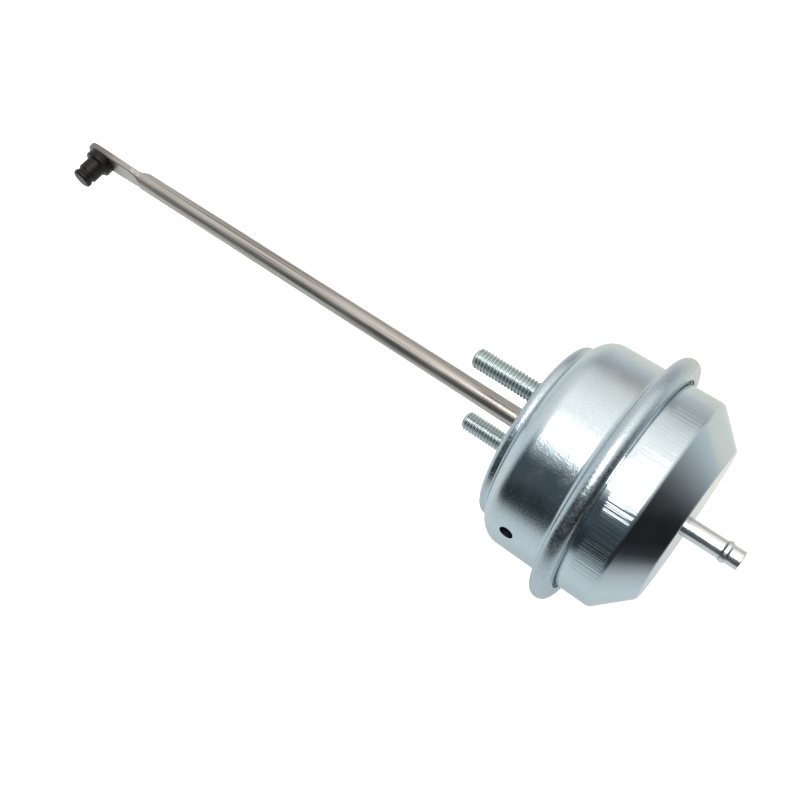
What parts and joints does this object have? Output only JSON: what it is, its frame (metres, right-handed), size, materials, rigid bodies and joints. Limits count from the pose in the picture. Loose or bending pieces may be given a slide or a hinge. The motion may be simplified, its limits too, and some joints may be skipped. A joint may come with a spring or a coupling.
{
  "type": "wastegate actuator",
  "caption": "Pressure canister with a long push rod that opens a turbocharger's bypass valve, with mounting studs, a hose nipple and a lever pin.",
  "frame": {"origin": "centre of the mounting pad's face, on the rod's axis", "axes": "+X along the rod from the pad to the lever pin; +Z from the lower stud to the upper stud; +Y the way the vent hole points, square to the studs, with the lever pin turned 12 degrees from it towards -Z"},
  "size_m": [0.2443, 0.0738, 0.0738],
  "materials": {
    "zinc_shell": "bright blue-white zinc plating on deep-drawn steel",
    "bright_tube": "bright plated steel tube",
    "zinc_stud": "zinc-plated rolled thread",
    "rod_steel": "drawn stainless bar, warm grey satin",
    "black_steel": "turned steel, black oxide",
    "spring_steel": "shot-peened spring wire",
    "sintered_bronze": "oil-filled sintered bronze",
    "moulded_rubber": "moulded rubber, matte",
    "diaphragm_rubber": "fabric-backed silicone rubber, matte"
  },
  "bodies": {
    "canister": {"front_shell": "zinc_shell", "back_shell": "zinc_shell", "hose_nipple": "bright_tube", "mounting_plate": "zinc_shell", "stud_upper": "zinc_stud", "stud_lower": "zinc_stud", "guide_housing": "zinc_shell", "guide_bush": "sintered_bronze", "dust_seal": "moulded_rubber", "bump_stop": "moulded_rubber", "diaphragm": "diaphragm_rubber", "return_spring": "spring_steel"},
    "rod_assembly": {"push_rod": "rod_steel", "lever_pin": "black_steel", "piston": "zinc_shell", "retainer_plate": "zinc_shell", "rod_washer": "zinc_stud", "sealing_washer": "moulded_rubber", "lock_nut": "zinc_stud"}
  },
  "joints": [
    {"name": "rod_stroke", "type": "slide", "parent": "canister", "child": "rod_assembly", "axis": [1, 0, 0], "range_m": [0, 0.012], "stiffness_N_per_m": 12000, "springref_m": -0.012, "deforming": ["return_spring", "diaphragm"]}
  ]
}
